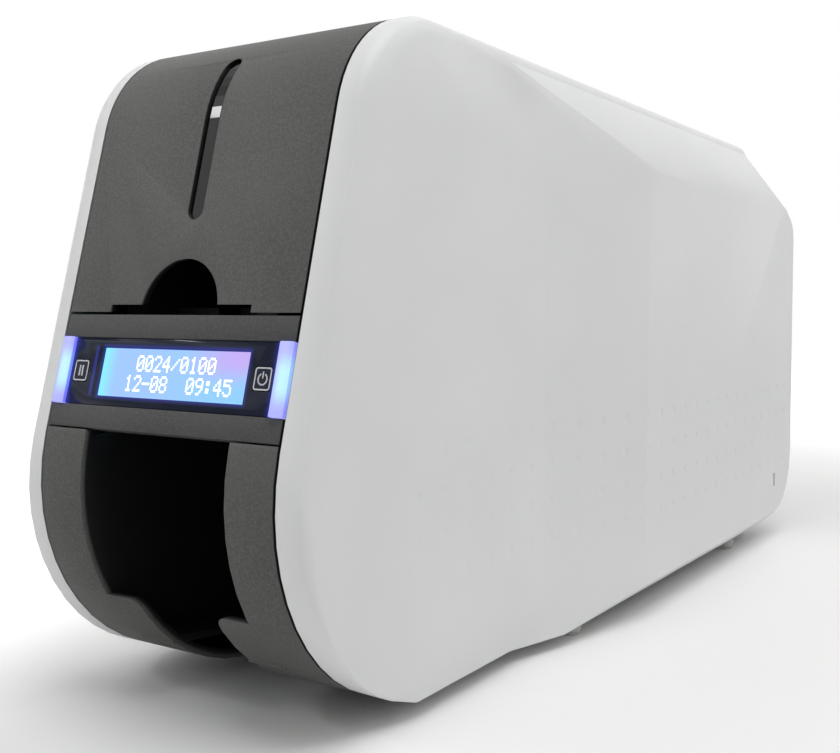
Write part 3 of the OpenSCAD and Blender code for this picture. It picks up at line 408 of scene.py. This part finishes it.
# ---------------------------------------------------------------- modelling by hand
def start_clean():
    if bpy.context.object and bpy.context.object.mode != "OBJECT":
        bpy.ops.object.mode_set(mode="OBJECT")
    bpy.ops.object.select_all(action="DESELECT")


def take(piece):
    start_clean()
    piece.select_set(True)
    bpy.context.view_layer.objects.active = piece


def modify(piece, kind, **settings):
    take(piece)
    modifier = piece.modifiers.new(kind.lower(), kind)
    for key, value in settings.items():
        setattr(modifier, key, value)
    bpy.ops.object.modifier_apply(modifier=modifier.name)


# ---------------------------------------------------------------- moulded pieces with broken edges
def softened(node, width, angle=32, smooth=40):
    """A copy of a moulded piece with its sharp edges broken, standing for the plain one."""
    piece = nodes[node].copy()
    piece.data = nodes[node].data.copy()
    piece.name = node + "_moulded"
    piece.parent = None
    piece.matrix_world = Matrix.Identity(4)
    bpy.context.scene.collection.objects.link(piece)
    take(piece)
    bpy.ops.object.mode_set(mode="EDIT")
    bpy.ops.mesh.select_all(action="SELECT")
    bpy.ops.mesh.remove_doubles(threshold=0.01 * MM)
    bpy.ops.mesh.customdata_custom_splitnormals_clear()
    bpy.ops.mesh.dissolve_limited(angle_limit=radians(0.5))
    bpy.ops.object.mode_set(mode="OBJECT")
    modify(piece, "BEVEL", width=width * MM, segments=2, limit_method="ANGLE", angle_limit=radians(angle))
    take(piece)
    bpy.ops.object.shade_smooth_by_angle(angle=radians(smooth))
    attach(piece, body_of[node])
    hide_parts(node)
    return piece


# how wide the sharp edges of each moulded piece are broken, in millimetres
EDGE_BREAKS = {
    "hopper_cover": 0.5, "top_cover": 0.5, "rear_cover": 0.4, "output_stacker": 0.5,
    "display_bezel": 0.35, "release_button": 0.4, "display_lens": 0.15,
    "led_bar_left": 0.2, "led_bar_right": 0.2,
}
PANEL_EDGE_BREAK = 0.8
moulded = {node: softened(node, width) for node, width in EDGE_BREAKS.items()}
# own tones for three pieces; the hopper cover and the stacker also get painted shade, as black, on their
# recess walls
for node, name, tone, inside in (
        ("hopper_cover", "hopper_grey", (0.090, 0.091, 0.087), hopper_recess_shade),
        ("display_bezel", "bezel_grey", (0.060, 0.061, 0.060), None),
        ("output_stacker", "stacker_grey", (0.086, 0.087, 0.083), stacker_recess_shade)):
    moulded[node].data.materials[0] = textured_dark(name, tone, inside)
for node in ("left_side_panel", "right_side_panel"):
    panel = softened(node, PANEL_EDGE_BREAK, angle=60, smooth=35)
    modify(panel, "WEIGHTED_NORMAL", mode="FACE_AREA", weight=60, keep_sharp=True)


# ---------------------------------------------------------------- marks on the display strip
def finished(piece, name, body, material):
    """Names a new piece, puts its place into its mesh and gives it a body and a finish."""
    piece.name = name
    take(piece)
    bpy.ops.object.transform_apply(location=True, rotation=True, scale=True)
    piece.data.materials.clear()
    piece.data.materials.append(material)
    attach(piece, body)


def printed_block(x, s, face, width, height):
    """One flat block of a mark, lying just over a face of the strip."""
    bpy.ops.mesh.primitive_cube_add(
        size=1, location=on_front(x, s, face + PRINT_GAP + PRINT_THICK / 2), rotation=FRONT_TURN,
        scale=(width * MM, height * MM, PRINT_THICK * MM))


def rounded_ring(x):
    """A flat rounded frame, lying just over a key's face."""
    width, height, corner = 5.9, 6.4, 0.9
    start_clean()
    bpy.ops.mesh.primitive_plane_add(size=1, location=on_front(x, 0, KEY_FACE + PRINT_GAP),
                                     rotation=FRONT_TURN)
    piece = bpy.context.object
    piece.scale = (width * MM, height * MM, 1)
    bpy.ops.object.transform_apply(location=False, rotation=False, scale=True)
    bpy.ops.object.mode_set(mode="EDIT")
    bpy.ops.mesh.select_all(action="SELECT")
    bpy.ops.mesh.bevel(offset=corner * MM, segments=5, affect="VERTICES")
    bpy.ops.mesh.select_all(action="SELECT")
    bpy.ops.mesh.inset(thickness=PRINT_LINE * MM)
    bpy.ops.mesh.delete(type="FACE")
    bpy.ops.object.mode_set(mode="OBJECT")
    return piece


def icon(name, x, body, sign, material):
    """A key's mark: a rounded frame with a sign inside."""
    mark = rounded_ring(x)
    modify(mark, "SOLIDIFY", thickness=PRINT_THICK * MM, offset=1.0)
    take(mark)
    bpy.ops.object.mode_set(mode="EDIT")
    sign(x)
    bpy.ops.object.mode_set(mode="OBJECT")
    finished(mark, name, body, material)


def pause_sign(x):
    """Two upright bars, a bar's width apart."""
    bar_width, bar_height = 0.62, 3.3
    for side in (-1, 1):
        printed_block(x + side * bar_width, 0, KEY_FACE, bar_width, bar_height)


def power_sign(x):
    """An upright line in an open ring, which is a row of small blocks."""
    line_middle, line_height = 1.05, 1.9
    printed_block(x, line_middle, KEY_FACE, PRINT_LINE, line_height)
    ring_r, ring_middle = 1.55, -0.1
    first_turn, whole_turn, blocks = 125, 290, 22
    for i in range(blocks):
        turn = radians(first_turn + whole_turn * i / (blocks - 1))
        printed_block(x + ring_r * cos(turn), ring_middle + ring_r * sin(turn), KEY_FACE,
                      PRINT_LINE, PRINT_LINE)


key_print = print_grey()
icon("pause_icon", -KEY_X, "pause_key", pause_sign, key_print)
icon("power_icon", KEY_X, "power_key", power_sign, key_print)

# plain figures, each five dots wide and seven high, one number for each row of dots
FIGURES = {
    "0": (14, 17, 19, 21, 25, 17, 14), "1": (4, 12, 4, 4, 4, 4, 14), "2": (14, 17, 1, 2, 4, 8, 31),
    "4": (2, 6, 10, 18, 31, 2, 2), "5": (31, 16, 30, 1, 1, 17, 14), "8": (14, 17, 17, 14, 17, 17, 14),
    "9": (14, 17, 17, 15, 1, 2, 12), "/": (0, 1, 2, 4, 8, 16, 0), ":": (0, 12, 12, 0, 12, 12, 0),
    "-": (0, 0, 0, 31, 0, 0, 0), " ": (0, 0, 0, 0, 0, 0, 0),
}
DOTS_ACROSS = 5


def figures(line, first_x, top_s):
    """One line of the display, dot by dot, from its top left dot."""
    for place, sign in enumerate(line):
        for row, dots in enumerate(FIGURES[sign]):
            for column in range(DOTS_ACROSS):
                if dots >> (DOTS_ACROSS - 1 - column) & 1:
                    printed_block(first_x + place * FIGURE_PITCH + column * DOT_PITCH[0],
                                  top_s - row * DOT_PITCH[1], LCD_FACE, *DOT_SIZE)


def display_figures():
    """Both lines of the display as one piece."""
    start_clean()
    bpy.ops.object.add(type="MESH", location=(0, 0, 0))
    piece = bpy.context.object
    bpy.ops.object.mode_set(mode="EDIT")
    figures("0024/0100", -12.6, 5.0)
    figures("12-08  09:45", -16.2, -1.0)
    bpy.ops.object.mode_set(mode="OBJECT")
    finished(piece, "display_figures", "body", lit_dots())


display_figures()


# ---------------------------------------------------------------- floor and backdrop
def pale_floor():
    start_clean()
    floor_width = 6
    bpy.ops.mesh.primitive_plane_add(size=floor_width, location=(0, 0, 0))
    floor = bpy.context.object
    floor.name = "floor"
    m = Material("pale_floor", Roughness=0.5, Specular_IOR_Level=0.25, Emission_Strength=1.0)
    m.feed("Base Color", m.mottled(300.0, rgb(0.90, 0.90, 0.895), rgb(0.92, 0.92, 0.915), low=0.2, high=0.8))
    # where the camera sees it, the floor fades to white away from the object, and painted light makes it
    # whiter on the left
    sight = Wire(m.tree, m.tree.nodes.new("ShaderNodeLightPath").outputs["Is Camera Ray"])
    across, back, _ = m.millimetres()
    reach = (across * across + back * back).root().ramp(300, 950)
    left_painted_light = across.ramp(-20, -180)
    m.feed("Emission Color", (sight * (reach * 0.6).most(left_painted_light * 0.5)).blend(BLACK, WHITE))
    floor.data.materials.append(m.data)


def studio_world():
    """An even grey light on the object, and plain white where the camera and reflections see past it."""
    world = bpy.data.worlds.new("studio")
    bpy.context.scene.world = world
    world.use_nodes = True
    tree = world.node_tree
    sky = tree.nodes["Background"]
    sky.inputs["Color"].default_value = WHITE
    sky.inputs["Strength"].default_value = 0.29
    path = tree.nodes.new("ShaderNodeLightPath")
    seen, mirrored, through = (Wire(tree, path.outputs[ray]) for ray in (
        "Is Camera Ray", "Is Glossy Ray", "Is Transmission Ray"))
    backdrop = seen.made("ShaderNodeBackground", {"Color": WHITE, "Strength": 1.0})
    shown = seen.made("ShaderNodeMixShader", {
        0: seen.most(mirrored).most(through), 1: Wire(tree, sky.outputs[0]), 2: backdrop})
    tree.links.new(shown.socket, tree.nodes["World Output"].inputs["Surface"])


pale_floor()
studio_world()


# ---------------------------------------------------------------- lamps, in metres and watts
def softbox(name, place, aim, size, watts):
    """A rectangular lamp at a place, turned to its aim."""
    data = bpy.data.lights.new(name, "AREA")
    data.shape = "RECTANGLE"
    data.size, data.size_y = size
    data.energy = watts
    lamp = bpy.data.objects.new(name, data)
    bpy.context.scene.collection.objects.link(lamp)
    lamp.location = place
    lamp.rotation_euler = (Vector(aim) - Vector(place)).to_track_quat("-Z", "Y").to_euler()


softbox("key_light", (0.40, -0.25, 1.50), (0, -0.02, 0.1), (1.0, 1.0), 12.5)
softbox("fill_light", (-0.9, -1.1, 0.9), (0, 0, 0.1), (1.0, 1.0), 3.6)
# makes the glint in the window slot
softbox("small_light", (-0.90, -0.89, 0.98), (0, -0.17, 0.17), (0.22, 0.08), 1.5)
softbox("side_light", (0.65, 0.40, 0.75), (0.07, 0.12, 0.1), (0.5, 0.5), 1.5)

# ---------------------------------------------------------------- camera, fitted to the photograph, in metres
SENSOR_MM = 36
PHOTO_WIDTH_PX = 840
FOCAL_PX = 1094.528
EYE_PLACE = Vector((0.232079, -0.417880, 0.122927))
EYE_TURN = radians(33.016)
EYE_DIP = radians(3.581)
EYE_ROLL = radians(0.087)


def place_camera():
    eye = bpy.data.cameras.new("view")
    eye.sensor_width = SENSOR_MM
    eye.lens = SENSOR_MM * FOCAL_PX / PHOTO_WIDTH_PX
    eye.clip_start = 0.02
    camera = bpy.data.objects.new("view", eye)
    bpy.context.scene.collection.objects.link(camera)
    ahead = Vector((-sin(EYE_TURN) * cos(EYE_DIP), cos(EYE_TURN) * cos(EYE_DIP), -sin(EYE_DIP)))
    level = Vector((cos(EYE_TURN), sin(EYE_TURN), 0))
    upright = level.cross(ahead)
    right = level * cos(EYE_ROLL) + upright * sin(EYE_ROLL)
    up = upright * cos(EYE_ROLL) - level * sin(EYE_ROLL)
    camera.matrix_world = Matrix.Translation(EYE_PLACE) @ Matrix((right, up, -ahead)).transposed().to_4x4()
    bpy.context.scene.camera = camera


place_camera()
bpy.context.scene.view_settings.view_transform = "Standard"
